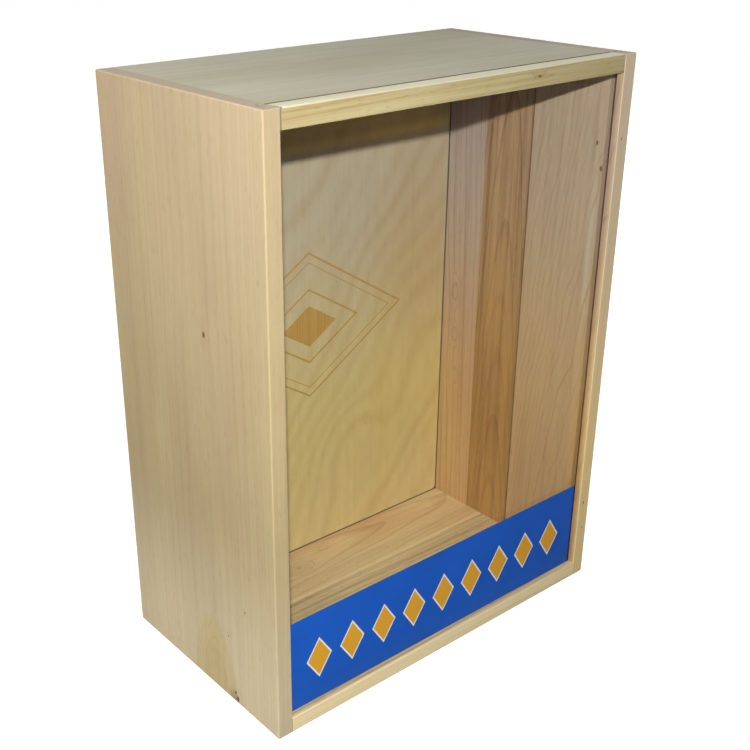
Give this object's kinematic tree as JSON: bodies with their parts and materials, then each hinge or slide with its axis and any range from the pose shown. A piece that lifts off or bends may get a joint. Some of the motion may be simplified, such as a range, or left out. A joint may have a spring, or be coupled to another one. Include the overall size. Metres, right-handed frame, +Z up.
{
  "type": "sliding lid box",
  "caption": "Upright wooden display box with a clear lid that slides up out of grooves in its sides, lifted by a wooden pull strip, with a coloured band along the foot of the lid.",
  "frame": {"origin": "middle of the underside of the box, on the surface that it stands on", "axes": "+X to the right of someone facing the clear lid, +Y from the lid to the back, +Z up along the lid's slide"},
  "size_m": [0.257, 0.144, 0.34],
  "materials": {
    "side_wood": "clear satin lacquer on planed hardwood",
    "stave_wood_pale": "clear satin lacquer on planed hardwood",
    "stave_wood_brown": "clear satin lacquer on planed heartwood",
    "stave_wood_pink": "clear satin lacquer on planed hardwood",
    "end_wood": "clear satin lacquer on planed hardwood",
    "floor_wood_brown": "clear satin lacquer on planed heartwood",
    "floor_wood_pale": "clear satin lacquer on planed hardwood",
    "back_plywood": "sanded birch plywood",
    "panel_plywood": "sanded birch plywood",
    "pull_wood": "clear satin lacquer on planed hardwood",
    "brad_steel": "galvanised wire",
    "clear_acrylic": "polished cast sheet",
    "band_film": "opaque satin vinyl film"
  },
  "bodies": {
    "case": {"left_side": "side_wood", "right_side_front_stave": "stave_wood_pale", "right_side_middle_stave": "stave_wood_brown", "right_side_rear_stave": "stave_wood_pink", "top_end": "end_wood", "bottom_front_stave": "floor_wood_brown", "bottom_rear_stave": "floor_wood_pale", "back_board": "back_plywood", "display_panel": "panel_plywood", "left_side_brads": "brad_steel", "right_side_brads": "brad_steel", "back_board_brads": "brad_steel"},
    "lid": {"lid_window": "clear_acrylic", "lid_pull": "pull_wood", "lid_band": "band_film"}
  },
  "joints": [
    {"name": "lid_slide", "type": "slide", "parent": "case", "child": "lid", "axis": [0, 0, 1], "range_m": [0, 0.345]}
  ]
}
